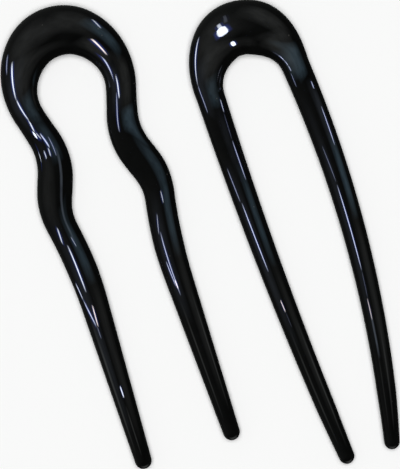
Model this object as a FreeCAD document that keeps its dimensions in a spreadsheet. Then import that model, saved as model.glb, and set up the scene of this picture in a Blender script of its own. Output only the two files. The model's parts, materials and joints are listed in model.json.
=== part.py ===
import FreeCAD, Part
import math
import os
from collections import namedtuple

import Sketcher
from FreeCAD import Placement, Rotation, Vector

# A pair of polished black hairpins: a wavy pin and a plain one, each a thick bow with two springy prongs.
# Both lie flat, side by side, prongs towards -Y and underside at Z = 0.
# Each pin is drawn in its own frame: the crown's outer edge is at the origin and the pin's axis is the Y axis.
# Left is -X.

# Driving dimensions, in millimetres and degrees.
# A bend is a radius of the centreline. A run goes from corner to corner of the centreline.
# A lean is measured from straight down the pin, positive away from the other prong.
SIZES = (
    ("wavy_length", "112.3", "crown to prong tips"),
    ("wavy_crown_bend", "10.5", "bend over the crown"),
    ("wavy_crown_angle", "38.7", "turn of the crown bend, from the axis to each side"),
    ("wavy_flank_bend", "14.6", "bend down each side of the bow"),
    ("wavy_root_run", "1.5", "end of the bow to the root of the prong"),
    ("wavy_waist_lean", "-15.5", "lean of the prong as it leaves the bow"),
    ("wavy_waist_run", "11.4", "end of the bow to the waist corner"),
    ("wavy_waist_bend", "16.5", "bend at the waist"),
    ("wavy_belly_lean", "19.8", "lean from the waist to the belly"),
    ("wavy_belly_run", "13.2", "waist corner to belly corner"),
    ("wavy_belly_bend", "16.0", "bend at the belly"),
    ("wavy_ankle_lean", "-9.1", "lean from the belly to the ankle"),
    ("wavy_ankle_run", "15.8", "belly corner to ankle corner"),
    ("wavy_ankle_bend", "95.0", "bend at the ankle"),
    ("wavy_tip_lean", "0.8", "lean of the shank"),
    ("wavy_crown_width", "12.0", "width of the bow at the crown"),
    ("wavy_root_width", "7.25", "width at the root, the narrowest part"),
    ("wavy_belly_width", "8.5", "width of the belly"),
    ("wavy_ankle_width", "7.2", "width of the ankle"),
    ("wavy_tip_diameter", "3.9", "diameter of the round tip"),
    ("wavy_crown_thickness", "6.2", "thickness of the bow at the crown"),
    ("wavy_leg_thickness", "4.6", "thickness of the prong above the shank"),
    ("plain_length", "113.9", "crown to prong tips"),
    ("plain_crown_bend", "8.5", "bend over the crown"),
    ("plain_crown_angle", "37.0", "turn of the crown bend, from the axis to each side"),
    ("plain_flank_bend", "14.3", "bend down each side of the bow"),
    ("plain_root_run", "2.0", "end of the bow to the root of the prong"),
    ("plain_left_bend", "980.0", "bend of the left prong, nearly straight"),
    ("plain_right_bend", "287.0", "bend of the right prong"),
    ("plain_right_lean", "5.9", "lean of the right prong as it leaves the bow"),
    ("plain_crown_width", "13.1", "width of the bow at the crown"),
    ("plain_shoulder_run", "3.7", "crown to where the right shoulder starts to narrow"),
    ("plain_root_width", "6.75", "width at the root"),
    ("plain_neck_run", "14.0", "tip to the neck, where the taper steepens"),
    ("plain_neck_width", "4.6", "width of the neck"),
    ("plain_tip_diameter", "3.6", "diameter of the round tip"),
    ("plain_crown_thickness", "6.2", "thickness of the bow at the crown"),
    ("plain_root_thickness", "4.4", "thickness at the root"),
    ("plain_neck_thickness", "3.9", "thickness of the neck"),
    ("pin_pitch", "42.0", "axis of the wavy pin to axis of the plain pin"),
    ("pin_stagger", "12.3", "plain crown below the wavy crown"),
    ("knuckle_shoulder", "1.35", "knuckle radius beyond half the root width"),
    ("knuckle_clearance", "0.08", "gap between a prong's knuckle and its socket"),
    ("tip_flat", "0.2", "flat left at the end of a rounded tip"),
)

doc = FreeCAD.newDocument("hairpin_pair")
sheet = doc.addObject("Spreadsheet::Sheet", "sizes")
for row, (alias, value, meaning) in enumerate(SIZES, 1):
    sheet.set(f"A{row}", meaning)
    sheet.set(f"B{row}", value)
    sheet.setAlias(f"B{row}", alias)
doc.recompute()

UP = Vector(0, 0, 1)
SIDES = {"left": -1, "right": 1}


def size(alias):
    return float(sheet.get(alias))


# Centrelines
# A path runs from the crown to one tip as (length, turn) pieces, each a straight run or an arc.
# A turn is in radians, and is positive where the path bends in towards the other prong.

def path_length(path):
    return sum(length for length, turn in path)


def follow(path, distance):
    """Across, along and turned so far, at a distance from the crown along a path."""
    across, along, turned = 0.0, 0.0, 0.0
    for length, turn in path:
        step = min(distance, length)
        swing = turn * step / length
        if swing:
            radius = step / swing
            across += radius * (math.sin(turned + swing) - math.sin(turned))
            along += radius * (math.cos(turned + swing) - math.cos(turned))
        else:
            across += step * math.cos(turned)
            along -= step * math.sin(turned)
        turned += swing
        distance -= step
    return across, along, turned


def bow_path(pin, lean):
    """Half of the bow: over the crown, then down the side until the prong leans as it should."""
    crown_turn = math.radians(size(f"{pin}_crown_angle"))
    flank_turn = math.radians(90 - lean) - crown_turn
    return [(size(f"{pin}_crown_bend") * crown_turn, crown_turn),
            (size(f"{pin}_flank_bend") * flank_turn, flank_turn)]


def drop_left(pin, path):
    """How far the end of a path still is above the prong tips."""
    crown_centre = -size(f"{pin}_crown_width") / 2
    end = crown_centre + follow(path, path_length(path))[1]
    return size(f"{pin}_length") + end


def wavy_path(side):
    """Bow, then straight runs joined by the waist, belly and ankle bends. Both sides are alike."""
    leans = [size(f"wavy_{place}_lean") for place in ("waist", "belly", "ankle", "tip")]
    path = bow_path("wavy", leans[0])
    tangent_before = 0.0
    for place, lean, next_lean in zip(("waist", "belly", "ankle"), leans, leans[1:]):
        bend = size(f"wavy_{place}_bend")
        turn = math.radians(lean - next_lean)
        tangent = bend * math.tan(abs(turn) / 2)
        path.append((size(f"wavy_{place}_run") - tangent_before - tangent, 0.0))
        path.append((bend * abs(turn), turn))
        tangent_before = tangent
    path.append((drop_left("wavy", path) / math.cos(math.radians(leans[-1])), 0.0))
    return path


def plain_path(side):
    """Bow, then one long arc. The left prong leaves the bow straight down, the right one leans out first."""
    lean = size("plain_right_lean") if side == "right" else 0.0
    bend = size(f"plain_{side}_bend")
    path = bow_path("plain", lean)
    start = math.radians(lean)
    end = math.asin(math.sin(start) - drop_left("plain", path) / bend)
    path.append((bend * (start - end), start - end))
    return path


# Cross-sections
# A station names the width and thickness that a pin has at one distance from its crown.
# From the station before it, the sizes change in an easy swell or in an even taper.
Station = namedtuple("Station", "distance width thickness ease")


def swell(share):
    return (1 - math.cos(math.pi * share)) / 2


def taper(share):
    return share


def root_distance(pin, path):
    return path_length(path[:2]) + size(f"{pin}_root_run")


def middle(path, piece):
    return path_length(path[:piece]) + path[piece][0] / 2


def wavy_stations(side, path):
    """Crown, root, belly, ankle and tip. Both sides are alike."""
    belly_run, ankle_run, ankle_bend = 4, 6, 7
    return [Station(0.0, "wavy_crown_width", "wavy_crown_thickness", taper),
            Station(root_distance("wavy", path), "wavy_root_width", "wavy_leg_thickness", swell),
            Station(middle(path, belly_run), "wavy_belly_width", "wavy_leg_thickness", swell),
            Station(middle(path, ankle_run), "wavy_ankle_width", "wavy_leg_thickness", swell),
            Station(middle(path, ankle_bend), "wavy_ankle_width", "wavy_leg_thickness", taper),
            Station(path_length(path), "wavy_tip_diameter", "wavy_tip_diameter", taper)]


def plain_stations(side, path):
    """Crown, root, neck and tip. The right shoulder keeps the crown's width for a little way."""
    tip = path_length(path)
    crown = [Station(0.0, "plain_crown_width", "plain_crown_thickness", taper)]
    if side == "right":
        crown.append(crown[0]._replace(distance=size("plain_shoulder_run")))
    return crown + [
        Station(root_distance("plain", path), "plain_root_width", "plain_root_thickness", swell),
        Station(tip - size("plain_neck_run"), "plain_neck_width", "plain_neck_thickness", taper),
        Station(tip, "plain_tip_diameter", "plain_tip_diameter", taper)]


def between(first, second, share):
    """Value and formula of a size that lies part of the way from one cell to another."""
    value = size(first) + (size(second) - size(first)) * share
    return value, f"sizes.{first} + (sizes.{second} - sizes.{first}) * {share:.4f}"


def section_sizes(stations, distance):
    """Width and thickness at a distance from the crown, each as a value and a formula."""
    for before, after in zip(stations, stations[1:]):
        if distance <= after.distance or after is stations[-1]:
            share = after.ease(min(1.0, (distance - before.distance) / (after.distance - before.distance)))
            return (between(before.width, after.width, share),
                    between(before.thickness, after.thickness, share))


# Sketches and features

def base_plane(body):
    return next(plane for plane in body.Origin.OriginFeatures if plane.Role == "XY_Plane")


def sketch_at(body, name, offset):
    sketch = body.newObject("Sketcher::SketchObject", name)
    sketch.AttachmentSupport = [(base_plane(body), "")]
    sketch.MapMode = "FlatFace"
    sketch.AttachmentOffset = offset
    return sketch


def bind(sketch, constraint, name, formula):
    index = sketch.addConstraint(constraint)
    sketch.renameConstraint(index, name)
    sketch.setExpression(f"Constraints.{name}", formula)


def centre_on_origin(sketch, geometry):
    sketch.addConstraint(Sketcher.Constraint("Coincident", geometry, 3, -1, 1))


def pin_place(pin, side, path, distance):
    """Point on the centreline in the pin's own frame, and the outward direction across the pin."""
    across, along, turned = follow(path, distance)
    point = Vector(SIDES[side] * across, along - size(f"{pin}_crown_width") / 2, 0)
    outward = Vector(math.sin(SIDES[side] * turned), math.cos(turned), 0)
    return point, outward


def section(body, name, pin, side, distance):
    """Oval cross-section of a pin, upright and square to the centreline, its lowest point on Z = 0."""
    path, stations = PINS[pin][side][:2]
    point, outward = pin_place(pin, side, path, distance)
    (width, width_formula), (thickness, thickness_formula) = section_sizes(stations, distance)
    point.z = thickness / 2
    sketch = sketch_at(body, name, Placement(point, Rotation(outward, UP, outward.cross(UP), "XYZ")))
    sketch.setExpression("AttachmentOffset.Base.z", f"({thickness_formula}) / 2")
    if distance >= path_length(path):
        tip = sketch.addGeometry(Part.Circle(Vector(), UP, width / 2))
        centre_on_origin(sketch, tip)
        bind(sketch, Sketcher.Constraint("Diameter", tip, width), "width", width_formula)
        return sketch
    oval = sketch.addGeometry(Part.Ellipse(Vector(width / 2, 0, 0), Vector(0, thickness / 2, 0), Vector()))
    sketch.exposeInternalGeometry(oval)
    long_axis, short_axis = oval + 1, oval + 2
    centre_on_origin(sketch, oval)
    sketch.addConstraint(Sketcher.Constraint("Horizontal", long_axis))
    bind(sketch, Sketcher.Constraint("Distance", long_axis, width), "width", width_formula)
    bind(sketch, Sketcher.Constraint("Distance", short_axis, thickness), "thickness", thickness_formula)
    return sketch


def loft(body, sections):
    solid = body.newObject("PartDesign::AdditiveLoft", f"{body.Name}_loft")
    solid.Profile = sections[0]
    solid.Sections = sections[1:]
    doc.recompute()
    return solid


def cut_through(body, sketch):
    """Cut a flat shape up through the whole piece, and make sure that it took something away."""
    before = body.Shape.Volume
    pocket = body.newObject("PartDesign::Pocket", f"{sketch.Name}_cut")
    pocket.Profile = sketch
    pocket.Type = "ThroughAll"
    pocket.Reversed = True
    doc.recompute()
    if body.Shape.Volume >= before:
        raise RuntimeError(f"{pocket.Name} cut nothing")


# Knuckles
# A prong flexes at its root. Its end there is a round knuckle about an upright axis inside the prong.
# The bow ends in a socket about the same axis, a clearance larger, so the prong turns without touching.

# How far beyond its axis the cut round a knuckle reaches, in knuckle radii
CUT_REACH = 2


def knuckle_formula(pin):
    return f"sizes.{pin}_root_width / 2 + sizes.knuckle_shoulder"


def knuckle_radius(pin):
    return size(f"{pin}_root_width") / 2 + size("knuckle_shoulder")


def knuckle_place(pin, side):
    """Axis of a prong's knuckle, one knuckle radius past the root, and the outward direction there."""
    path = PINS[pin][side].path
    return pin_place(pin, side, path, root_distance(pin, path) + knuckle_radius(pin))


def socket_cut(body, pin, side):
    axis, outward = knuckle_place(pin, side)
    sketch = sketch_at(body, f"{body.Name}_{side}_socket", Placement(axis, Rotation()))
    radius = knuckle_radius(pin) + size("knuckle_clearance")
    circle = sketch.addGeometry(Part.Circle(Vector(), UP, radius))
    centre_on_origin(sketch, circle)
    bind(sketch, Sketcher.Constraint("Radius", circle, radius), "radius",
         f"{knuckle_formula(pin)} + sizes.knuckle_clearance")
    cut_through(body, sketch)


def knuckle_cut(body, pin, side):
    """Take away what lies above the knuckle's axis and outside its round end."""
    axis, outward = knuckle_place(pin, side)
    towards_bow = outward.cross(UP) * -SIDES[side]
    upright = Rotation(towards_bow.cross(UP), towards_bow, UP, "XYZ")
    sketch = sketch_at(body, f"{body.Name}_knuckle", Placement(axis, upright))
    radius = knuckle_radius(pin)
    reach = CUT_REACH * radius
    arc = sketch.addGeometry(Part.ArcOfCircle(Part.Circle(Vector(), UP, radius), 0, math.pi))
    corners = [Vector(-radius, 0, 0), Vector(-reach, 0, 0), Vector(-reach, reach, 0), Vector(reach, reach, 0),
               Vector(reach, 0, 0), Vector(radius, 0, 0)]
    lines = [sketch.addGeometry(Part.LineSegment(start, end)) for start, end in zip(corners, corners[1:])]
    centre_on_origin(sketch, arc)
    for first, second in zip(lines, lines[1:]):
        sketch.addConstraint(Sketcher.Constraint("Coincident", first, 2, second, 1))
    sketch.addConstraint(Sketcher.Constraint("Coincident", arc, 2, lines[0], 1))
    sketch.addConstraint(Sketcher.Constraint("Coincident", arc, 1, lines[-1], 2))
    for level in (lines[0], lines[2], lines[4]):
        sketch.addConstraint(Sketcher.Constraint("Horizontal", level))
    for upright_line in (lines[1], lines[3]):
        sketch.addConstraint(Sketcher.Constraint("Vertical", upright_line))
    sketch.addConstraint(Sketcher.Constraint("PointOnObject", arc, 1, -1))
    sketch.addConstraint(Sketcher.Constraint("PointOnObject", arc, 2, -1))
    bind(sketch, Sketcher.Constraint("Radius", arc, radius), "radius", knuckle_formula(pin))
    for name, line, radii in (("left_reach", lines[0], CUT_REACH - 1), ("height", lines[1], CUT_REACH),
                              ("right_reach", lines[4], CUT_REACH - 1)):
        bind(sketch, Sketcher.Constraint("Distance", line, radii * radius), name,
             f"{radii} * ({knuckle_formula(pin)})")
    cut_through(body, sketch)


# The two kinds of piece

# Numbers of loft sections: for half a bow, and for a prong with many bends or one
BOW_SECTIONS = 8
WAVY_SECTIONS = 24
PLAIN_SECTIONS = 8
# How far a bow's loft runs past the root before its socket is cut, in knuckle radii
BOW_OVERRUN = 0.8


def bow(pin):
    """Stout crown of a pin, from one root over the top to the other, with a socket at each end."""
    body = doc.addObject("PartDesign::Body", f"{pin}_bow")
    sections = []
    for side, steps in (("left", range(BOW_SECTIONS, 0, -1)), ("right", range(BOW_SECTIONS + 1))):
        end = root_distance(pin, PINS[pin][side].path) + BOW_OVERRUN * knuckle_radius(pin)
        for step in steps:
            sections.append(section(body, f"{pin}_bow_{side}_{step}", pin, side, end * step / BOW_SECTIONS))
    loft(body, sections)
    for side in SIDES:
        socket_cut(body, pin, side)
    return body


def section_places(pin, side):
    """Distances of a prong's sections from the crown, evenly spaced from just above the root to the tip."""
    path, stations, sections = PINS[pin][side]
    start = root_distance(pin, path) - size("knuckle_shoulder")
    step = (path_length(path) - start) / sections
    return [start + step * number for number in range(sections)] + [path_length(path)]


def prong(pin, side):
    """Springy prong of a pin: a lofted shank with a round tip and a knuckle at its root."""
    body = doc.addObject("PartDesign::Body", f"{pin}_{side}_prong")
    shank = loft(body, [section(body, f"{body.Name}_{number}", pin, side, place)
                        for number, place in enumerate(section_places(pin, side))])
    ends = [f"Edge{number}" for number, edge in enumerate(shank.Shape.Edges, 1) if edge.isClosed()]
    tip_edge = min(ends, key=lambda name: shank.Shape.getElement(name).CenterOfMass.y)
    rounding = body.newObject("PartDesign::Fillet", f"{body.Name}_tip")
    rounding.Base = (shank, [tip_edge])
    rounding.setExpression("Radius", f"(sizes.{pin}_tip_diameter - sizes.tip_flat) / 2")
    doc.recompute()
    knuckle_cut(body, pin, side)
    return body


Half = namedtuple("Half", "path stations sections")
PINS = {}
for pin, make_path, make_stations, sections in (("wavy", wavy_path, wavy_stations, WAVY_SECTIONS),
                                                ("plain", plain_path, plain_stations, PLAIN_SECTIONS)):
    paths = {side: make_path(side) for side in SIDES}
    PINS[pin] = {side: Half(path, make_stations(side, path), sections) for side, path in paths.items()}


# The pair is centred over the origin.

def half_breadth(pin, side):
    """Farthest that a pin stands out from its axis on one side."""
    path, stations = PINS[pin][side][:2]
    farthest = 0.0
    for step in range(int(path_length(path)) + 1):
        point, outward = pin_place(pin, side, path, step)
        (width, formula), thickness = section_sizes(stations, step)
        farthest = max(farthest, abs(point.x) + abs(outward.x) * width / 2)
    return farthest


left_edge = -half_breadth("wavy", "left")
right_edge = size("pin_pitch") + half_breadth("plain", "right")
wavy_corner = Vector(-(left_edge + right_edge) / 2, (size("pin_stagger") + size("plain_length")) / 2, 0)
CROWNS = {"wavy": wavy_corner,
          "plain": wavy_corner + Vector(size("pin_pitch"), -size("pin_stagger"), 0)}

bodies = []
for pin, crown in CROWNS.items():
    pieces = [bow(pin)] + [prong(pin, side) for side in SIDES]
    for body in pieces:
        body.Label = body.Name
        body.Placement = Placement(crown, Rotation())
    bodies += pieces
doc.recompute()

for item in doc.Objects:
    if "Invalid" in item.State or "Error" in item.State:
        raise RuntimeError(f"{item.Name} failed: {item.State}")
for body in bodies:
    if body.Shape.isNull() or not body.Shape.isValid() or len(body.Shape.Solids) != 1:
        raise RuntimeError(f"{body.Label} is not one sound solid")

os.makedirs("parts", exist_ok=True)
for body in bodies:
    body.Shape.exportStep(f"parts/{body.Label}.step")
    print(f"{body.Label}: {body.Shape.Volume:.1f} mm3")

for pin, crown in CROWNS.items():
    print(f"{pin} crown at {crown.x:.3f}, {crown.y:.3f}")
    for side in SIDES:
        path = PINS[pin][side].path
        axis, outward = knuckle_place(pin, side)
        tip, outward = pin_place(pin, side, path, path_length(path))
        print(f"{pin} {side}: hinge at {axis.x + crown.x:.3f}, {axis.y + crown.y:.3f}, "
              f"tip at {tip.x + crown.x:.3f}, {tip.y + crown.y:.3f}")
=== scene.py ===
# %% [markdown]
# # A pair of black hairpins
# The object is two U-shaped pins that hold a bun or twist of hair: a wavy pin and a plain one. Each
# real pin is one moulding of hard black plastic, thick at the bow, tapered to round tips, and polished
# until it mirrors the room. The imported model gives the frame: every piece below is in metres, in its
# axes.

# %% Load the frame
import json
import math
from collections import namedtuple

import bmesh
import bpy
from mathutils import Matrix, Vector


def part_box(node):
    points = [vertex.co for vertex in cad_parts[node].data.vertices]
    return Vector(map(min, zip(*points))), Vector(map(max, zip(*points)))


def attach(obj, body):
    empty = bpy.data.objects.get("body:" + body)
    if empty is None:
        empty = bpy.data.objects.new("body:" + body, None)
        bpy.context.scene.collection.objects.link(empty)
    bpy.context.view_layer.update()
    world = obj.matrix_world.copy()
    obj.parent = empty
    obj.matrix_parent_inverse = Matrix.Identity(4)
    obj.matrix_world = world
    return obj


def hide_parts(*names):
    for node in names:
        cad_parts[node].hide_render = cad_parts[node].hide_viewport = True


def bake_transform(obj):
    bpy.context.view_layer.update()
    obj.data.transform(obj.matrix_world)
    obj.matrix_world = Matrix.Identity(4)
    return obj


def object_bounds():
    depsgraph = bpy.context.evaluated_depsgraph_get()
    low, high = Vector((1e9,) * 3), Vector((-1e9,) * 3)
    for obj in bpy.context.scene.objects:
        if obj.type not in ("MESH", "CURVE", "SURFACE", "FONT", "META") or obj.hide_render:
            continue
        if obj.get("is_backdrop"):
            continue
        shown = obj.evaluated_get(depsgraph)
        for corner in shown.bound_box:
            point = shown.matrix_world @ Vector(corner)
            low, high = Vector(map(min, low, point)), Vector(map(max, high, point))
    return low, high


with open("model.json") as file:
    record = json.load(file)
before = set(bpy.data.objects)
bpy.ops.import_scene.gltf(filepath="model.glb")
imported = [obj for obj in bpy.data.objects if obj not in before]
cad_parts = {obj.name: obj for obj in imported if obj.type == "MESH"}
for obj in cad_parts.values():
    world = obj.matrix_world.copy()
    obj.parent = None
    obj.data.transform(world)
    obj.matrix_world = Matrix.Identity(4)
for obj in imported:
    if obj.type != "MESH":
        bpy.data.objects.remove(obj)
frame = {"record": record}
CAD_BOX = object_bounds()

# %% [markdown]
# ## The shape of a pin
# A pin is an oval section swept along a centreline. The centreline runs from the crown down one side as
# a chain of arcs and straight runs, which is how such a pin is drawn before its mould is cut. A free
# curve could be traced by eye, but the same sizes made the solids, so the skins below lie on them.
# Leans are measured from straight down the pin, positive outwards.

# %% Sizes of the wavy pin
MM = 0.001
WAVY = {
    "length": 112.3 * MM,
    "crown_bend": 10.5 * MM,
    "crown_angle": 38.7,
    "flank_bend": 14.6 * MM,
    "root_run": 1.5 * MM,
    "crown_width": 12.0 * MM,
    "root_width": 7.25 * MM,
    "belly_width": 8.5 * MM,
    "ankle_width": 7.2 * MM,
    "tip_diameter": 3.9 * MM,
    "crown_thickness": 6.2 * MM,
    "leg_thickness": 4.6 * MM,
}
# Each bend of a wavy prong: lean before it, run up to its corner, radius
WAVY_BENDS = ((-15.5, 11.4 * MM, 16.5 * MM), (19.8, 13.2 * MM, 16.0 * MM), (-9.1, 15.8 * MM, 95.0 * MM))
WAVY_TIP_LEAN = 0.8
print(f"wavy pin: {WAVY['length'] / MM:.1f} mm long, {WAVY['crown_width'] / MM:.1f} mm wide at the crown")

# %% Sizes of the plain pin
PLAIN = {
    "length": 113.9 * MM,
    "crown_bend": 8.5 * MM,
    "crown_angle": 37.0,
    "flank_bend": 14.3 * MM,
    "root_run": 2.0 * MM,
    "crown_width": 13.1 * MM,
    "shoulder_run": 3.7 * MM,
    "root_width": 6.75 * MM,
    "neck_run": 14.0 * MM,
    "neck_width": 4.6 * MM,
    "tip_diameter": 3.6 * MM,
    "crown_thickness": 6.2 * MM,
    "root_thickness": 4.4 * MM,
    "neck_thickness": 3.9 * MM,
}
PLAIN_LEANS = {"left": 0.0, "right": 5.9}
PLAIN_BENDS = {"left": 980.0 * MM, "right": 287.0 * MM}
print(f"plain pin: {PLAIN['length'] / MM:.1f} mm long, {PLAIN['crown_width'] / MM:.1f} mm wide at the crown")

# %% [markdown]
# ## Centrelines
# A path is a list of (length, turn) pieces from the crown to one tip. A curve object could carry the
# sweep, but its tilt and its radius have to be set point by point, so following the arcs by formula is
# shorter and exact.

# %% Follow a path of arcs and straight runs
def path_length(path):
    return sum(length for length, turn in path)


def follow(path, distance):
    """Across, along and turned so far, at a distance from the crown."""
    across, along, turned = 0.0, 0.0, 0.0
    for length, turn in path:
        step = min(distance, length)
        swing = turn * step / length
        if swing:
            radius = step / swing
            across += radius * (math.sin(turned + swing) - math.sin(turned))
            along += radius * (math.cos(turned + swing) - math.cos(turned))
        else:
            across += step * math.cos(turned)
            along -= step * math.sin(turned)
        turned += swing
        distance -= step
    return across, along, turned


def bow_path(pin, lean):
    """Half of the bow: over the crown and down the side until the prong leans as it should."""
    crown_turn = math.radians(pin["crown_angle"])
    flank_turn = math.radians(90 - lean) - crown_turn
    return [(pin["crown_bend"] * crown_turn, crown_turn), (pin["flank_bend"] * flank_turn, flank_turn)]


def drop_left(pin, path):
    """How far the end of a path still is above the tips."""
    return pin["length"] - pin["crown_width"] / 2 + follow(path, path_length(path))[1]


half_bow = path_length(bow_path(WAVY, WAVY_BENDS[0][0]))
print(f"half of the wavy bow: {half_bow / MM:.1f} mm along its centreline")


# %% Centreline of each half pin
def wavy_path():
    path = bow_path(WAVY, WAVY_BENDS[0][0])
    leans_after = [bend[0] for bend in WAVY_BENDS[1:]] + [WAVY_TIP_LEAN]
    tangent_before = 0.0
    for (lean, run, radius), lean_after in zip(WAVY_BENDS, leans_after):
        turn = math.radians(lean - lean_after)
        tangent = radius * math.tan(abs(turn) / 2)
        path.append((run - tangent_before - tangent, 0.0))
        path.append((radius * abs(turn), turn))
        tangent_before = tangent
    path.append((drop_left(WAVY, path) / math.cos(math.radians(WAVY_TIP_LEAN)), 0.0))
    return path


def plain_path(side):
    path = bow_path(PLAIN, PLAIN_LEANS[side])
    start = math.radians(PLAIN_LEANS[side])
    end = math.asin(math.sin(start) - drop_left(PLAIN, path) / PLAIN_BENDS[side])
    path.append((PLAIN_BENDS[side] * (start - end), start - end))
    return path


SIDES = {"left": -1, "right": 1}
PATHS = {
    "wavy": {side: wavy_path() for side in SIDES},
    "plain": {side: plain_path(side) for side in SIDES},
}
for pin, sides in PATHS.items():
    for side, path in sides.items():
        print(f"{pin} centreline, {side}: {path_length(path) / MM:.1f} mm")


# %% [markdown]
# ## Width and thickness
# A pin is stout at the crown, drawn in at the roots of the prongs and tapered to the tips. Every ring
# could be given a size of its own, but a few stations name the sizes that matter, and an easy swell or
# an even taper joins them, so the outline has no corner anywhere.

# %% Stations along each half pin
BOW_PIECES = 2
Station = namedtuple("Station", "distance width thickness ease")


def swell(share):
    return (1 - math.cos(math.pi * share)) / 2


def taper(share):
    return share


def bow_length(path):
    """How far the arcs of the bow, its crown and its flank, reach along a path."""
    return path_length(path[:BOW_PIECES])


def middle(path, piece):
    return path_length(path[:piece]) + path[piece][0] / 2


def wavy_stations(path):
    belly_run, ankle_run, ankle_bend = 4, 6, 7
    thickness = WAVY["leg_thickness"]
    return [Station(0.0, WAVY["crown_width"], WAVY["crown_thickness"], taper),
            Station(bow_length(path) + WAVY["root_run"], WAVY["root_width"], thickness, swell),
            Station(middle(path, belly_run), WAVY["belly_width"], thickness, swell),
            Station(middle(path, ankle_run), WAVY["ankle_width"], thickness, swell),
            Station(middle(path, ankle_bend), WAVY["ankle_width"], thickness, taper),
            Station(path_length(path), WAVY["tip_diameter"], WAVY["tip_diameter"], taper)]


def plain_stations(path, side):
    root, tip = bow_length(path) + PLAIN["root_run"], path_length(path)
    crown = [Station(0.0, PLAIN["crown_width"], PLAIN["crown_thickness"], taper)]
    if side == "right":
        crown.append(crown[0]._replace(distance=PLAIN["shoulder_run"]))
    return crown + [
        Station(root, PLAIN["root_width"], PLAIN["root_thickness"], swell),
        Station(tip - PLAIN["neck_run"], PLAIN["neck_width"], PLAIN["neck_thickness"], taper),
        Station(tip, PLAIN["tip_diameter"], PLAIN["tip_diameter"], taper)]


wavy_places = [round(station.distance / MM, 1) for station in wavy_stations(PATHS["wavy"]["right"])]
print("wavy stations, mm from the crown:", wavy_places)


# %% Width and thickness between the stations
def section_sizes(stations, distance):
    for before, after in zip(stations, stations[1:]):
        if distance <= after.distance or after is stations[-1]:
            share = after.ease(min(1.0, (distance - before.distance) / (after.distance - before.distance)))
            return (before.width + (after.width - before.width) * share,
                    before.thickness + (after.thickness - before.thickness) * share)


STATIONS = {
    "wavy": {side: wavy_stations(path) for side, path in PATHS["wavy"].items()},
    "plain": {side: plain_stations(path, side) for side, path in PATHS["plain"].items()},
}
print("stations:", {pin: len(sides["right"]) for pin, sides in STATIONS.items()})


# %% [markdown]
# ## One ring of the skin
# Every ring of the skin is the same circle, stretched to the oval of its place. It could be drawn point
# by point, but a matrix stretches and places it at once: its columns are the direction across the pin,
# straight up, and along the pin, with the ring's centre last. The underside of a pin is on the table
# all along, and near a tip the rings shrink as a ball's do, which rounds the end.

# %% Place a ring
UP = Vector((0.0, 0.0, 1.0))
PINS = {"wavy": WAVY, "plain": PLAIN}
MOUNTS = {mount["name"]: mount for mount in frame["record"]["mounts"]}
CROWNS = {}
for pin in PINS:
    loop_across = MOUNTS[f"{pin}_bow_loop"]["pos_m"][0]
    CROWNS[pin] = Vector((loop_across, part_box(f"{pin}_bow")[1].y, 0.0))


def tip_radius(pin):
    return PINS[pin]["tip_diameter"] / 2


def rounding_start(pin, side):
    """Where along the path the tip starts to round off."""
    return path_length(PATHS[pin][side]) - tip_radius(pin)


def ring_matrix(pin, side, distance):
    across, along, turned = follow(PATHS[pin][side], distance)
    width, thickness = section_sizes(STATIONS[pin][side], distance)
    into_tip = max(0.0, distance - rounding_start(pin, side)) / tip_radius(pin)
    shrink = math.sqrt(max(0.0, 1.0 - into_tip ** 2))
    outward = Vector((SIDES[side] * math.sin(turned), math.cos(turned), 0.0))
    from_crown = Vector((SIDES[side] * across, along - PINS[pin]["crown_width"] / 2, thickness / 2))
    columns = (outward * width / 2 * shrink, UP * thickness / 2 * shrink, outward.cross(UP),
               CROWNS[pin] + from_crown)
    matrix = Matrix.Identity(4)
    for number, column in enumerate(columns):
        for row in range(3):
            matrix[row][number] = column[row]
    return matrix


for pin, crown in CROWNS.items():
    print(f"{pin} crown at x {crown.x / MM:.2f}, y {crown.y / MM:.2f} mm")


# %% [markdown]
# ## Skins
# The solids part each pin at the roots of its prongs, because a prong has to turn there. The real
# plastic has no such gap, so each pin is skinned again without one. A filler over each gap would show
# two seams, so a circle is extruded ring by ring along the whole centreline. A bow and its prongs meet
# ring to ring just above the roots, where each end is closed with a flat face.

# %% Rings along a skin
RING_STEP = 0.5 * MM
TIP_RINGS = 14


def even_steps(start, end):
    count = max(1, round(abs(end - start) / RING_STEP))
    return [start + (end - start) * number / count for number in range(count + 1)]


def seam(pin, side):
    """Where the flank of the bow ends, a little above the root."""
    return bow_length(PATHS[pin][side])


def prong_places(pin, side):
    """Even steps from the seam to where the tip rounds off, then steps that close up towards its end."""
    rounding = rounding_start(pin, side)
    turns = [number / TIP_RINGS * math.pi / 2 for number in range(1, TIP_RINGS)]
    tip = [rounding + tip_radius(pin) * math.sin(turn) for turn in turns]
    return [(side, distance) for distance in even_steps(seam(pin, side), rounding) + tip]


def bow_places(pin):
    right = [("right", distance) for distance in even_steps(seam(pin, "right"), 0.0)]
    return right + [("left", distance) for distance in even_steps(0.0, seam(pin, "left"))[1:]]


for pin in PINS:
    print(f"{pin} bow: {len(bow_places(pin))} rings, each prong about {len(prong_places(pin, 'right'))}")


# %% Extrude a skin from ring to ring
RING_SIDES = 72


def only(kind, items):
    return [item for item in items if isinstance(item, kind)]


def sweep(mesh, pin, places):
    """Extrude a capped circle through (side, distance) places; return the last ring's edges and points."""
    matrices = [ring_matrix(pin, side, distance) for side, distance in places]
    bmesh.ops.create_circle(mesh, cap_ends=True, segments=RING_SIDES, radius=1.0, matrix=matrices[0])
    edges = mesh.edges[:]
    for edge in edges:
        edge.smooth = False
    for before, after in zip(matrices, matrices[1:]):
        made = bmesh.ops.extrude_edge_only(mesh, edges=edges)["geom"]
        points = only(bmesh.types.BMVert, made)
        inner = set(points)
        edges = [edge for edge in only(bmesh.types.BMEdge, made) if inner.issuperset(edge.verts)]
        bmesh.ops.transform(mesh, matrix=after @ before.inverted(), verts=points)
    return edges, points


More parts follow.
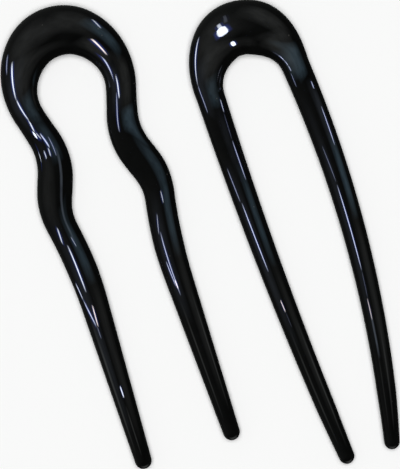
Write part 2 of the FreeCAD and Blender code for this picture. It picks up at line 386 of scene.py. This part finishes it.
def close_flat(mesh, edges):
    for edge in edges:
        edge.smooth = False
    bmesh.ops.contextual_create(mesh, geom=edges)


print("a ring has", RING_SIDES, "sides")


# %% Make the bow and prong skins
WALL_CORNERS = 4


def skin_object(name, mesh):
    """Turn the faces outwards, shade the walls smooth and the flat ends flat, and make the object."""
    bmesh.ops.recalc_face_normals(mesh, faces=mesh.faces[:])
    for face in mesh.faces:
        face.smooth = len(face.verts) <= WALL_CORNERS
    data = bpy.data.meshes.new(name)
    mesh.to_mesh(data)
    mesh.free()
    piece = bpy.data.objects.new(name, data)
    bpy.context.scene.collection.objects.link(piece)
    print(f"{name}: {len(data.vertices)} points, {len(data.polygons)} faces")
    return piece


def bow_skin(pin):
    mesh = bmesh.new()
    edges, _ = sweep(mesh, pin, bow_places(pin))
    close_flat(mesh, edges)
    return skin_object(f"{pin}_bow_skin", mesh)


def prong_skin(pin, side):
    mesh = bmesh.new()
    _, points = sweep(mesh, pin, prong_places(pin, side))
    tip = ring_matrix(pin, side, path_length(PATHS[pin][side])).translation
    bmesh.ops.pointmerge(mesh, verts=points, merge_co=tip)
    return skin_object(f"{pin}_{side}_prong_skin", mesh)


SKINS = {}
for pin in PINS:
    SKINS[pin, "bow"] = bow_skin(pin)
    for side in SIDES:
        SKINS[pin, side] = prong_skin(pin, side)

# %% [markdown]
# ## What the skins ride on
# A sprung prong bends most near its root. Here each bow's skin rides on its bow, and each prong's skin
# has its place baked into its points and rides on nothing, so nothing here bends it with its prong. The
# solids under all the skins are hidden.

# %% Attach the bow skins and hide the solids
for (pin, region), piece in SKINS.items():
    if region == "bow":
        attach(piece, f"{pin}_bow")
        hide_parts(f"{pin}_bow")
    else:
        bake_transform(piece)
        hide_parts(f"{pin}_{region}_prong")
print("skins:", ", ".join(piece.name for piece in SKINS.values()))


# %% [markdown]
# ## Shader maths in Python
# A finish is a sum of small effects, and wiring each Math node by hand hides the sum. This class wraps
# a socket, so that the finish below reads as an expression, and each operator adds one Math node.

# %% A socket that does sums
class Wire:
    """A node socket, with arithmetic."""

    def __init__(self, tree, socket):
        self.tree = tree
        self.socket = socket

    def node(self, kind, settings=None, inputs=None, output=0):
        """Add a node, set its properties, then its sockets, and return one of its outputs."""
        made = self.tree.nodes.new(kind)
        for name, value in (settings or {}).items():
            setattr(made, name, value)
        for name, value in (inputs or {}).items():
            if isinstance(value, Wire):
                self.tree.links.new(value.socket, made.inputs[name])
            else:
                made.inputs[name].default_value = value
        return Wire(self.tree, made.outputs[output])

    def maths(self, operation, first, second):
        return self.node("ShaderNodeMath", {"operation": operation}, {0: first, 1: second})

    def __add__(self, other):
        return self.maths("ADD", self, other)

    def __radd__(self, other):
        return self.maths("ADD", other, self)

    def __sub__(self, other):
        return self.maths("SUBTRACT", self, other)

    def __rsub__(self, other):
        return self.maths("SUBTRACT", other, self)

    def __mul__(self, other):
        return self.maths("MULTIPLY", self, other)

    def __rmul__(self, other):
        return self.maths("MULTIPLY", other, self)

    def __lt__(self, other):
        return self.maths("LESS_THAN", self, other)

    def __gt__(self, other):
        return self.maths("GREATER_THAN", self, other)


print("a wire adds, subtracts, multiplies and compares")

# %% [markdown]
# ## Polished black plastic
# The plastic is dyed through, so it has almost no colour of its own: what shows is the room that it
# mirrors. One glossy black would do from afar. Close up, a clear polished coat mirrors the room
# sharply, and the body under it adds a little navy haze beside the brightest lines. Polishing by hand
# leaves the surface faintly wavy, with hairline marks, and a faint cloud and a few specks of dust keep
# the black from looking empty.

# %% Values of the plastic
BLACK = (0.0006, 0.0006, 0.0006, 1.0)
CLOUD = (0.0024, 0.0026, 0.0024, 1.0)
DUST = (0.032, 0.030, 0.028, 1.0)
HAZE_TINT = (0.10, 0.16, 1.0, 1.0)
BODY_GLOSS = 0.02
BODY_ROUGHNESS = 0.08
WAVE_ROUGHNESS = 0.03
DUST_ROUGHNESS = 0.3
COAT_IOR = 1.36
COAT_ROUGHNESS = 0.03
# Scale and detail of each noise
WAVE_NOISE = (120.0, 1.0)
HAIRLINE_NOISE = (9000.0, 3.0)
DUSTY_NOISE = (160.0, 2.0)
CLOUD_NOISE = (380.0, 3.0)
DUSTY_FROM = 0.58
SPECK_SCALE = 420.0
SPECK_RADIUS = 0.07
WAVE_BUMP = {"Strength": 0.25, "Distance": 0.2 * MM}
HAIRLINE_BUMP = {"Strength": 0.01, "Distance": 0.01 * MM}
# Which output of a Mix node is its colour
MIX_COLOUR = 2
print(f"specks of dust lie in cells of {1 / SPECK_SCALE / MM:.1f} mm")


# %% Mix the plastic
def black_plastic():
    material = bpy.data.materials.new("polished_black_plastic")
    material.use_nodes = True
    shader = material.node_tree.nodes["Principled BSDF"]
    start = Wire(material.node_tree, None)
    place = start.node("ShaderNodeTexCoord", output="Object")

    def noise(scale, detail):
        return start.node("ShaderNodeTexNoise", inputs={"Vector": place, "Scale": scale, "Detail": detail})

    def mix(share, first, second):
        inputs = {"Factor": share, "A": first, "B": second}
        return start.node("ShaderNodeMix", {"data_type": "RGBA"}, inputs, MIX_COLOUR)

    wave = noise(*WAVE_NOISE)
    hairline = noise(*HAIRLINE_NOISE)
    speck = start.node("ShaderNodeTexVoronoi", inputs={"Vector": place, "Scale": SPECK_SCALE},
                       output="Distance")
    dust = (speck < SPECK_RADIUS) * (noise(*DUSTY_NOISE) > DUSTY_FROM)
    colour = mix(dust, mix(noise(*CLOUD_NOISE), BLACK, CLOUD), DUST)
    roughness = BODY_ROUGHNESS + WAVE_ROUGHNESS * wave + DUST_ROUGHNESS * dust
    swells = start.node("ShaderNodeBump", inputs={"Height": wave, **WAVE_BUMP})
    marks = start.node("ShaderNodeBump", inputs={"Height": hairline, "Normal": swells, **HAIRLINE_BUMP})
    for socket, wire in (("Base Color", colour), ("Roughness", roughness), ("Normal", marks)):
        material.node_tree.links.new(wire.socket, shader.inputs[socket])
    shader.inputs["Specular IOR Level"].default_value = BODY_GLOSS
    shader.inputs["Specular Tint"].default_value = HAZE_TINT
    shader.inputs["Coat Weight"].default_value = 1.0
    shader.inputs["Coat Roughness"].default_value = COAT_ROUGHNESS
    shader.inputs["Coat IOR"].default_value = COAT_IOR
    return material


PLASTIC = black_plastic()
for piece in SKINS.values():
    piece.data.materials.append(PLASTIC)
print("finish:", PLASTIC.name, "with", len(PLASTIC.node_tree.nodes), "nodes")

# %% [markdown]
# ## Floor
# The pins lie on plain white paper. A large plane with a matte white finish takes their shadow. Gloss
# as clear as this would show the paper in every rim, but the rims of the pins are dark in the
# photograph, so the paper is kept out of mirror images.

# %% Lay the paper
FLOOR_HALF = 6.0
PAPER = (0.94, 0.94, 0.94, 1.0)


def paper_floor():
    mesh = bmesh.new()
    bmesh.ops.create_grid(mesh, x_segments=1, y_segments=1, size=FLOOR_HALF)
    data = bpy.data.meshes.new("paper_floor")
    mesh.to_mesh(data)
    mesh.free()
    floor = bpy.data.objects.new("paper_floor", data)
    bpy.context.scene.collection.objects.link(floor)
    material = bpy.data.materials.new("white_paper")
    material.use_nodes = True
    shader = material.node_tree.nodes["Principled BSDF"]
    shader.inputs["Base Color"].default_value = PAPER
    shader.inputs["Roughness"].default_value = 1.0
    shader.inputs["Specular IOR Level"].default_value = 0.0
    data.materials.append(material)
    floor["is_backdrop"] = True
    floor.visible_glossy = False
    return floor


print("floor:", paper_floor().name)

# %% [markdown]
# ## Camera
# The pins are seen from straight above, turned so that the prongs point down and a little to the right.
# A short lens close by would show more of the sides, so a long lens from nearly a metre keeps the
# outline as flat as it is in the photograph.

# %% Set the camera
PICTURE_TURN = math.radians(-18.03)
PICTURE_HEIGHT = 112.56 * MM
PICTURE_CENTRE = Vector((-1.92 * MM, 0.09 * MM, 0.0))
LENS = 300.0
SENSOR = 36.0
camera_data = bpy.data.cameras.new("camera")
camera_data.lens = LENS
camera_data.sensor_width = SENSOR
camera = bpy.data.objects.new("camera", camera_data)
camera.location = PICTURE_CENTRE + Vector((0.0, 0.0, PICTURE_HEIGHT * LENS / SENSOR))
camera.rotation_euler = (0.0, 0.0, PICTURE_TURN)
bpy.context.scene.collection.objects.link(camera)
bpy.context.scene.camera = camera
bpy.context.scene.view_settings.view_transform = "Standard"
print(f"camera {camera.location.z:.3f} m above the floor")

# %% [markdown]
# ## Soft light
# A large soft box straight above lights the paper and the plastic's own colour at a plain level. It
# would cover the black gloss with a grey mirror image, so it is kept out of mirror images, as a
# photographer's polarising sheets keep a soft box out of gloss.

# %% A flat lamp
FULL_BEAM = 180.0


def beam_gain(beam):
    """How much brighter a lamp is along its axis when the same power is held within a beam."""
    half = math.radians(beam) / 2
    return 1.0 if beam >= FULL_BEAM else math.tan(half) / (math.tan(half) - half)


def area_lamp(name, place, target, along, size, radiance, colour=(1.0, 1.0, 1.0), beam=FULL_BEAM):
    """A flat lamp at a place, facing a target, its long side turned along a direction."""
    back = (place - target).normalized()
    side = (along - back * along.dot(back)).normalized()
    data = bpy.data.lights.new(name, "AREA")
    data.shape = "RECTANGLE"
    data.size, data.size_y = size
    data.energy = radiance * math.pi * size[0] * size[1] / beam_gain(beam)
    data.spread = math.radians(beam)
    data.color = colour
    made = bpy.data.objects.new(name, data)
    turn = Matrix((side, back.cross(side), back)).transposed().to_4x4()
    made.matrix_world = Matrix.Translation(place) @ turn
    made.visible_camera = False
    bpy.context.scene.collection.objects.link(made)
    return made


print(f"held in half the full beam, a lamp is {beam_gain(FULL_BEAM / 2):.1f} times as bright along its axis")

# %% Hang the soft box
SOFT_BOX_HEIGHT = 2.5
SOFT_BOX_SIZE = (1.82, 1.82)
SOFT_BOX_RADIANCE = 6.4
PICTURE_UP = Vector((-math.sin(PICTURE_TURN), math.cos(PICTURE_TURN), 0.0))
soft_box = area_lamp("soft_box", UP * SOFT_BOX_HEIGHT, Vector(), PICTURE_UP, SOFT_BOX_SIZE,
                     SOFT_BOX_RADIANCE)
soft_box.visible_glossy = False
print("soft light:", soft_box.name)

# %% [markdown]
# ## Bright lines
# Polished black shows little but bright things in the room, as short thin lines. A lamp's mirror image
# can be found by trial, but it is quicker to work back: choose the stretch of pin that should shine,
# mirror the line of sight in its surface at both ends, and hang a strip lamp between the two mirrored
# lines. A far lamp shows on every stretch that leans its way, and a close one shows once, so the strips
# hang close, and closer still in the hollow of a bow and at the tips, where the skin curves most. Each
# strip has a wider navy one round it as its glow. Each lights the gloss of its own half pin alone, so
# the paper gets no light from it.

# %% What a shine is, and what it lights
# A shine starts and ends at millimetres along the half pin and a share across it, from -1 at the inner
# edge to 1 at the outer. Its spread is its lamp's width in degrees, and its reach is how far off it hangs.
CLOSE = 10.0 * MM
CLOSER = 3.0 * MM
Shine = namedtuple("Shine", "start end spread radiance colour reach", defaults=(CLOSE,))
LIT = {}
for pin in PINS:
    for side in SIDES:
        LIT[pin, side] = bpy.data.collections.new(f"{pin}_{side}_lit")
        for region in ("bow", side):
            LIT[pin, side].objects.link(SKINS[pin, region])
print(f"lamps hang {CLOSE / MM:.0f} or {CLOSER / MM:.0f} mm from the skin, in {len(LIT)} groups")


# %% Fade a lamp towards its edges
MOTTLE_SCALE = 5.0
MOTTLE_DETAIL = 3.0


def soften(lamp, soft, mottle):
    """Fade a lamp near its edges, or if soft all the way to them, with a slow noise in it if mottled."""
    lamp.data.use_nodes = True
    tree = lamp.data.node_tree
    start = Wire(tree, None)
    place = start.node("ShaderNodeNewGeometry", output="Parametric")
    fade = 1.0
    for axis in ("X", "Y"):
        share = 2 * start.node("ShaderNodeSeparateXYZ", inputs={"Vector": place}, output=axis) - 1
        square = share * share
        fade = (1 - (square if soft else square * square)) * fade
    if mottle:
        noise = start.node("ShaderNodeTexNoise", inputs={"Vector": place, "Scale": MOTTLE_SCALE,
                                                         "Detail": MOTTLE_DETAIL})
        # Noise keeps near a half, so this runs from about -1 to 1
        change = 4 * noise - 2
        fade = fade * (1 + mottle * change)
    tree.links.new(fade.socket, tree.nodes["Emission"].inputs["Strength"])


print("a lamp fades towards its edges")


# %% Place a lamp by its mirror image
ALONG_NUDGE = 0.05 * MM
ACROSS_NUDGE = 0.01
ROUND_FROM = 10.0


def skin_point(pin, side, distance, across):
    """A point on the upper skin, across it from -1 at the inner edge to 1 at the outer."""
    return ring_matrix(pin, side, distance) @ Vector((across, math.sqrt(1 - across ** 2), 0.0))


def mirrored(pin, side, distance, across, reach):
    """The point, and where a lamp stands that shows there to someone looking straight down."""
    point = skin_point(pin, side, distance, across)
    onward = skin_point(pin, side, distance + ALONG_NUDGE, across) - point
    inner = skin_point(pin, side, distance, across - ACROSS_NUDGE)
    outward = skin_point(pin, side, distance, across + ACROSS_NUDGE) - inner
    normal = onward.cross(outward).normalized()
    return point, point + (2 * normal.z * normal - UP) * reach


def shine_lamp(pin, side, name, shine, beam, soft=False, mottle=0.0):
    first, first_lamp = mirrored(pin, side, shine.start[0] * MM, shine.start[1], shine.reach)
    last, last_lamp = mirrored(pin, side, shine.end[0] * MM, shine.end[1], shine.reach)
    along = last_lamp - first_lamp
    wide = 2 * shine.reach * math.tan(math.radians(shine.spread) / 2)
    name = f"{pin}_{side}_{name}"
    lamp = area_lamp(name, (first_lamp + last_lamp) / 2, (first + last) / 2, along, (along.length, wide),
                     shine.radiance, shine.colour, beam)
    if shine.spread >= ROUND_FROM and not soft:
        lamp.data.shape = "ELLIPSE"
    soften(lamp, soft, mottle)
    lamp.visible_diffuse = False
    lamp.light_linking.receiver_collection = LIT[pin, side]


print(f"a strip {ROUND_FROM:.0f} degrees wide or more is a rounded spot")


# %% Hang strips with a glow
NAVY = (0.12, 0.20, 1.0)
GLOW_SPREAD = 15.0
GLOW_SHARE = 0.15
STRIP_BEAM = 90.0


def hang_lines(pin, side, lines):
    """Hang each bright strip, and a wider navy one round it as its glow."""
    for name, line in lines.items():
        shine_lamp(pin, side, name, line, STRIP_BEAM)
        glow = line._replace(spread=line.spread + GLOW_SPREAD, radiance=line.radiance * GLOW_SHARE,
                             colour=NAVY)
        shine_lamp(pin, side, f"{name}_glow", glow, STRIP_BEAM, soft=True)
    print(f"{len(lines)} lines and spots on the {pin} pin's {side}")


print(f"a glow has {GLOW_SHARE:.0%} of its line's light")

# %% Lines on the wavy pin
COOL = (0.82, 0.89, 1.0)
LAVENDER = (0.70, 0.77, 1.0)
WARM = (1.0, 0.88, 0.84)
WAVY_LINES = {
    "left": {
        "crown_edge": Shine((10, 0.78), (13.8, 0.67), 6, 18, LAVENDER),
        "crown_line": Shine((11, 0.50), (19.2, 0.33), 7, 56, COOL),
        "flank_line": Shine((19, 0.32), (24.4, 0.17), 7, 48, COOL),
        "waist_line": Shine((24.2, 0.18), (27.4, 0.29), 7, 48, COOL),
        "waist_hook": Shine((27.3, 0.33), (28.9, 0.40), 13, 55, COOL),
        "hook_tail": Shine((27.8, 0.25), (29.7, 0.15), 5, 30, COOL),
        "waist_dash": Shine((28.4, 0.04), (32.6, -0.04), 7, 44, LAVENDER),
        "waist_faint": Shine((30.1, -0.29), (35.1, -0.24), 4, 18, LAVENDER),
        "inner_dash": Shine((55.2, -0.22), (58, -0.27), 4, 18, COOL),
        "outer_tick": Shine((32.4, 0.72), (34.2, 0.70), 5, 32, COOL),
        "middle_tick": Shine((32.5, 0.37), (34.9, 0.37), 6, 34, COOL),
        "inner_tick": Shine((32.5, 0.05), (34.7, 0.10), 6, 30, COOL),
        "knee": Shine((51.9, 0.30), (55.9, 0.49), 6, 40, COOL),
        "shin": Shine((56.6, 0.23), (69.2, 0.32), 8, 48, COOL),
        "shin_edge": Shine((66.1, 0.77), (70.6, 0.69), 6, 40, COOL),
        "shank_edge": Shine((70.6, 0.69), (77.8, 0.37), 6, 44, LAVENDER),
        "shank": Shine((72.5, 0.19), (78, 0.26), 8, 44, WARM),
        "shank_tail": Shine((77.8, 0.33), (81, 0.31), 6, 9, LAVENDER),
        "dash": Shine((93.2, 0.01), (96.2, -0.02), 9, 60, COOL),
    },
    "right": {
        "shoulder_line": Shine((7.9, 0.72), (10.2, 0.59), 7, 22, COOL),
        "warm_streak": Shine((9.5, -0.05), (15.0, -0.15), 7, 52, WARM),
        "inner_line": Shine((14.4, -0.41), (20.4, -0.46), 6, 40, LAVENDER),
        "mid_line": Shine((20.2, -0.24), (26.5, -0.14), 7, 50, COOL),
        "waist_line": Shine((24.8, -0.32), (34.4, -0.36), 5, 30, LAVENDER),
        "knee": Shine((51.2, 0.11), (54.2, 0.18), 5, 24, COOL),
        "shin": Shine((56.5, -0.36), (61.5, -0.50), 4, 22, COOL),
        "shank": Shine((60.8, -0.37), (77, -0.30), 6, 36, LAVENDER),
        "shank_edge": Shine((68, -0.50), (74.5, -0.40), 6, 34, LAVENDER),
        "warm_dash": Shine((72.8, -0.33), (75.2, -0.31), 9, 40, WARM),
    },
}
for side, lines in WAVY_LINES.items():
    hang_lines("wavy", side, lines)

# %% Lines and spots on the plain pin
PLAIN_LINES = {
    "left": {
        "crown_spot": Shine((2.9, -0.01), (2.9, 0.33), 25, 60, COOL),
        "inner_spot": Shine((2.7, -0.36), (2.7, -0.56), 22, 60, COOL, CLOSER),
        "spot_peak": Shine((2.8, 0.26), (2.8, 0.47), 9, 30, COOL),
        "spot_ray": Shine((1.4, 0.34), (1.1, 0.62), 9, 2.2, LAVENDER),
        "crown_line": Shine((6.5, 0.77), (16, 0.63), 6, 46, COOL),
        "flank_line": Shine((15.8, 0.62), (22.5, 0.55), 5, 24, LAVENDER),
        "inner_dash": Shine((19.8, -0.60), (23.5, -0.56), 5, 30, COOL),
        "thin_line": Shine((23.6, -0.54), (30.4, -0.50), 3, 7, LAVENDER),
        "inner_line": Shine((30.5, -0.50), (40.8, -0.53), 6, 32, LAVENDER),
        "faint_line": Shine((36.5, 0.55), (45.4, 0.46), 6, 20, LAVENDER),
        "shank": Shine((45.5, 0.38), (63.5, 0.30), 7, 46, LAVENDER),
        "dash": Shine((70.8, 0.21), (74, 0.17), 8, 40, WARM),
        "tip_tail": Shine((74, 0.17), (78, 0.14), 5, 2.5, LAVENDER),
    },
    "right": {
        "crown_dash": Shine((14.0, -0.58), (16.0, -0.53), 5, 36, COOL, CLOSER),
        "crown_line": Shine((16.0, -0.53), (17.6, -0.48), 5, 40, COOL, CLOSER),
        "crown_tail": Shine((17.6, -0.48), (19.2, -0.45), 5, 36, COOL, CLOSER),
        "flank_line": Shine((19.3, -0.52), (23.0, -0.56), 4, 14, LAVENDER),
        "outer_dash": Shine((23, 0.59), (25, 0.57), 6, 32, LAVENDER),
        "outer_line": Shine((29.4, 0.60), (39.5, 0.55), 6, 36, LAVENDER),
        "faint_line": Shine((38.5, -0.39), (48, -0.27), 5, 10, LAVENDER),
        "shank": Shine((48.5, -0.27), (70.3, -0.23), 7, 46, LAVENDER),
        "faint_tail": Shine((70.2, -0.23), (77, -0.26), 4, 6, LAVENDER),
        "dash": Shine((77.0, -0.30), (82.5, -0.26), 8, 26, WARM),
    },
}
for side, lines in PLAIN_LINES.items():
    hang_lines("plain", side, lines)

# %% [markdown]
# ## Sheens
# Between the lines lie broad, faint patches, grey on the bows and teal or slate beside the prongs, and
# pale streaks run down to an arc at each tip. They are the mirror images of large dim things in the
# room. Painted on the plastic, they would stay put when a pin turns, so they are made as the lines are,
# with wide dim panels. A panel's light fades to its edges and is mottled, and a narrower beam than an
# open lamp's keeps it off the far side of a bow.

# %% Grey, slate and teal sheens
MOTTLE = 0.35
PANEL_BEAM = 110.0
GREY = (0.96, 1.0, 0.94)
SLATE = (0.72, 0.84, 1.0)
TEAL = (0.50, 0.81, 1.0)
SHEENS = {
    ("wavy", "left"): {
        "outer_sheen": Shine((-1, 0.50), (14, 0.48), 90, 0.58, GREY),
        "outer_flank": Shine((11, 0.48), (29, 0.45), 90, 0.62, SLATE),
        "inner_sheen": Shine((7, -0.10), (22, -0.15), 90, 0.57, GREY),
        "flank_sheen": Shine((18, -0.30), (26.5, -0.32), 100, 1.3, TEAL, CLOSER),
        "waist_sheen": Shine((25, -0.32), (37, -0.32), 100, 1.2, TEAL, CLOSER),
        "belly_sheen": Shine((28, 0.35), (52, 0.40), 80, 0.34, GREY),
        "shin_sheen": Shine((46, -0.40), (68, -0.33), 66, 1.5, TEAL),
        "belly_line": Shine((33, -0.39), (47, -0.36), 17, 2.4, SLATE),
        "calf_line": Shine((43, -0.36), (57, -0.30), 17, 2.1, SLATE),
        "outer_shank": Shine((48, 0.40), (106, 0.40), 80, 0.52, SLATE),
        "inner_shank": Shine((60, -0.35), (109, -0.35), 80, 0.40, GREY),
        "outer_streak": Shine((76, 0.60), (110, 0.58), 30, 1.2, GREY),
        "tip_streak": Shine((98, 0.05), (111, 0.00), 18, 0.94, GREY),
        "tip_arc": Shine((112.7, -0.60), (112.7, 0.60), 30, 1.2, GREY, CLOSER),
    },
    ("wavy", "right"): {
        "outer_sheen": Shine((-1, 0.50), (10, 0.50), 90, 0.52, GREY),
        "inner_sheen": Shine((7, -0.25), (18, -0.28), 100, 0.66, GREY, CLOSER),
        "inner_flank": Shine((16, -0.30), (31, -0.30), 100, 0.60, SLATE, CLOSER),
        "bow_sheen": Shine((6, 0.56), (17, 0.54), 60, 1.6, TEAL),
        "flank_sheen": Shine((16, 0.40), (31, 0.40), 80, 0.58, GREY),
        "waist_sheen": Shine((28, 0.40), (37, 0.42), 95, 1.9, TEAL),
        "belly_sheen": Shine((34, 0.50), (50, 0.46), 66, 1.3, TEAL),
        "shin_sheen": Shine((47, 0.46), (68, 0.46), 60, 1.5, TEAL),
        "inner_shank": Shine((50, -0.40), (84, -0.38), 80, 0.55, SLATE),
        "outer_shank": Shine((54, 0.40), (106, 0.40), 76, 0.38, GREY),
        "inner_streak": Shine((78, -0.45), (109, -0.40), 20, 0.9, GREY),
        "outer_streak": Shine((76, 0.55), (107, 0.55), 18, 0.9, GREY),
        "tip_arc": Shine((112.7, -0.60), (112.7, 0.60), 30, 1.2, GREY, CLOSER),
    },
    ("plain", "left"): {
        "outer_sheen": Shine((-1, 0.50), (13, 0.50), 90, 0.50, GREY),
        "outer_flank": Shine((10, 0.45), (24, 0.45), 80, 0.52, SLATE),
        "inner_sheen": Shine((4, -0.10), (19, -0.10), 90, 0.61, GREY),
        "flank_sheen": Shine((14, -0.20), (22.5, -0.22), 105, 1.3, TEAL, CLOSER),
        "thigh_sheen": Shine((21, -0.20), (41, -0.30), 70, 0.30, SLATE),
        "shank_sheen": Shine((36, -0.42), (63, -0.34), 62, 1.5, TEAL),
        "outer_shank": Shine((34, 0.40), (84, 0.40), 80, 0.56, SLATE),
        "inner_shank": Shine((55, -0.35), (107, -0.35), 74, 0.38, GREY),
        "outer_streak": Shine((78, 0.42), (109, 0.40), 24, 0.8, GREY),
        "inner_streak": Shine((76, -0.50), (110, -0.45), 24, 0.9, GREY),
        "tip_arc": Shine((112.2, -0.60), (112.2, 0.60), 30, 1.2, GREY, CLOSER),
    },
    ("plain", "right"): {
        "outer_sheen": Shine((1, 0.68), (13, 0.55), 60, 0.72, GREY),
        "bow_sheen": Shine((8, 0.15), (20, 0.15), 90, 0.62, GREY),
        "inner_sheen": Shine((8, -0.28), (20, -0.28), 100, 0.66, GREY, CLOSER),
        "inner_flank": Shine((13, -0.30), (22, -0.30), 100, 1.1, TEAL, CLOSER),
        "flank_sheen": Shine((12.5, 0.25), (22, 0.28), 90, 1.9, TEAL),
        "outer_flank": Shine((22, 0.50), (42, 0.50), 70, 0.75, SLATE),
        "shank_sheen": Shine((36, 0.50), (58, 0.46), 64, 2.0, TEAL),
        "outer_shank": Shine((50, 0.40), (100, 0.40), 76, 0.50, GREY),
        "inner_shank": Shine((25, -0.38), (90, -0.38), 70, 0.42, SLATE),
        "dash_tail": Shine((79, -0.28), (92, -0.22), 24, 3.0, SLATE),
        "inner_streak": Shine((88, -0.30), (110, -0.25), 18, 0.40, GREY),
        "outer_streak": Shine((84, 0.35), (110, 0.35), 22, 0.8, GREY),
        "tip_arc": Shine((112.7, -0.60), (112.7, 0.60), 30, 1.2, GREY, CLOSER),
    },
}
for (pin, side), sheens in SHEENS.items():
    for name, sheen in sheens.items():
        shine_lamp(pin, side, name, sheen, PANEL_BEAM, soft=True, mottle=MOTTLE)
    print(f"{len(sheens)} sheens on the {pin} pin's {side}")

# %% [markdown]
# ## Room
# A dim room fills what the lamps leave. One even grey would make the pins look flat, so the room is a
# little lighter to the upper left and darkest to the lower right, and that slow change gives the black
# its depth.

# %% Dim room
ROOM_LIGHT = (0.21, 0.222, 0.21, 1.0)
ROOM_DARK = (0.045, 0.047, 0.045, 1.0)
ROOM_EVEN = 0.2
ROOM_SLOPE = 0.8
PICTURE_RIGHT = Vector((math.cos(PICTURE_TURN), math.sin(PICTURE_TURN), 0.0))
LIGHT_SIDE = -0.75 * PICTURE_RIGHT + 0.6 * PICTURE_UP


def dim_room():
    world = bpy.data.worlds.new("dim_room")
    world.use_nodes = True
    start = Wire(world.node_tree, None)
    direction = start.node("ShaderNodeTexCoord", output="Generated")
    towards = start.node("ShaderNodeVectorMath", {"operation": "DOT_PRODUCT"}, {0: direction, 1: LIGHT_SIDE},
                         "Value")
    share = ROOM_EVEN + ROOM_SLOPE * towards
    colour = start.node("ShaderNodeMix", {"data_type": "RGBA", "clamp_factor": True},
                        {"Factor": share, "A": ROOM_DARK, "B": ROOM_LIGHT}, MIX_COLOUR)
    world.node_tree.links.new(colour.socket, world.node_tree.nodes["Background"].inputs["Color"])
    return world


bpy.context.scene.world = dim_room()
print("room:", bpy.context.scene.world.name)

# %% [markdown]
# ## How far the skins reach
# The skins should stay inside the solids' box, so both boxes are measured and how far the skins reach
# past the solids is printed. The skins have to stay inside the solids' box.

# %% Measure the boxes
VISUAL_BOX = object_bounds()
past = [round((new - old) / MM, 3) for new, old in zip(VISUAL_BOX[1], CAD_BOX[1])]
print("size over the solids, mm:", past)
